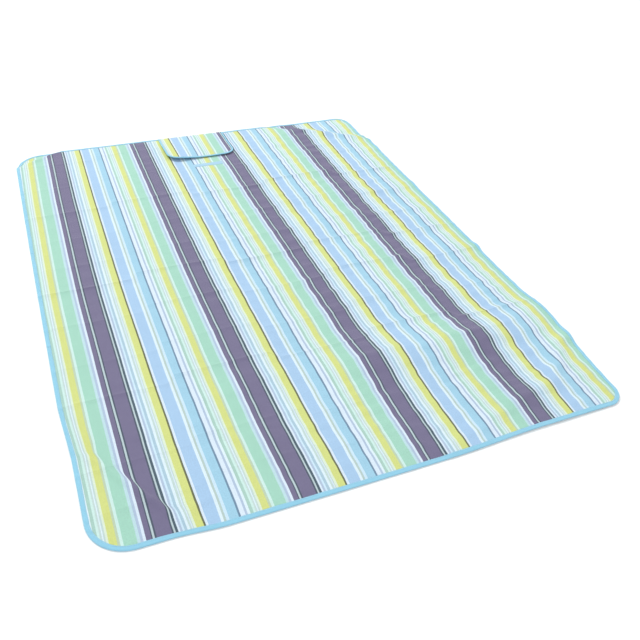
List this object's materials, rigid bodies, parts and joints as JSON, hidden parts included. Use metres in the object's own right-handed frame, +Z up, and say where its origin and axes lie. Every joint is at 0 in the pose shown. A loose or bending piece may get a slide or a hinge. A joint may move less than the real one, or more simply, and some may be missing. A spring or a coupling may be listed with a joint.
{
  "type": "fold-up picnic mat",
  "caption": "Fold-up picnic mat with a striped woven top, foam core and film backing, bound round the edge, with a padded closing flap. It folds across into a flat stack.",
  "frame": {"origin": "centre of the mat's rectangle, on the surface that it lies on", "axes": "+X along the near edge to the right, +Y from the near edge to the far edge that carries the flap, +Z up out of the striped side"},
  "size_m": [1.5, 2, 0.0307],
  "materials": {
    "striped_cover": "woven lengthwise stripes in plum, periwinkle, sky, mint, yellow and white, soft matt with a light sheen",
    "foam": "matt closed-cell foam",
    "backing_film": "embossed silver-grey waterproof film, satin",
    "binding_tape": "light blue ribbed woven tape, matt",
    "flap_lining": "light blue plain weave, matt",
    "closure_tape": "light blue hook-and-loop tape, fuzzy matt"
  },
  "bodies": {
    "far_panel": {"cover_far": "striped_cover", "core_far": "foam", "backing_far": "backing_film", "binding_far": "binding_tape", "loop_tape": "closure_tape"},
    "mid_far_panel": {"cover_mid_far": "striped_cover", "core_mid_far": "foam", "backing_mid_far": "backing_film", "binding_mid_far_left": "binding_tape", "binding_mid_far_right": "binding_tape"},
    "mid_near_panel": {"cover_mid_near": "striped_cover", "core_mid_near": "foam", "backing_mid_near": "backing_film", "binding_mid_near_left": "binding_tape", "binding_mid_near_right": "binding_tape"},
    "near_panel": {"cover_near": "striped_cover", "core_near": "foam", "backing_near": "backing_film", "binding_near": "binding_tape"},
    "flap": {"flap_lining": "flap_lining", "flap_core": "foam", "flap_cover": "striped_cover", "flap_binding": "binding_tape", "flap_hem": "striped_cover", "hook_tape": "closure_tape"}
  },
  "joints": [
    {"name": "fold_far", "type": "hinge", "parent": "far_panel", "child": "mid_far_panel", "pos_m": [0, 0.5, 0.03], "axis": [-1, 0, 0], "range_deg": [0, 180]},
    {"name": "fold_mid", "type": "hinge", "parent": "mid_far_panel", "child": "mid_near_panel", "pos_m": [0, 0, -0.004], "axis": [1, 0, 0], "range_deg": [0, 180]},
    {"name": "fold_near", "type": "hinge", "parent": "mid_near_panel", "child": "near_panel", "pos_m": [0, -0.5, 0.03], "axis": [-1, 0, 0], "range_deg": [0, 180]},
    {"name": "flap_hinge", "type": "hinge", "parent": "far_panel", "child": "flap", "pos_m": [0, 0.9842, 0.0083], "axis": [-1, 0, 0], "range_deg": [0, 174]}
  ],
  "couplings": [
    {"joint": "fold_mid", "follows": "fold_far", "ratio": 1},
    {"joint": "fold_near", "follows": "fold_far", "ratio": 1}
  ]
}
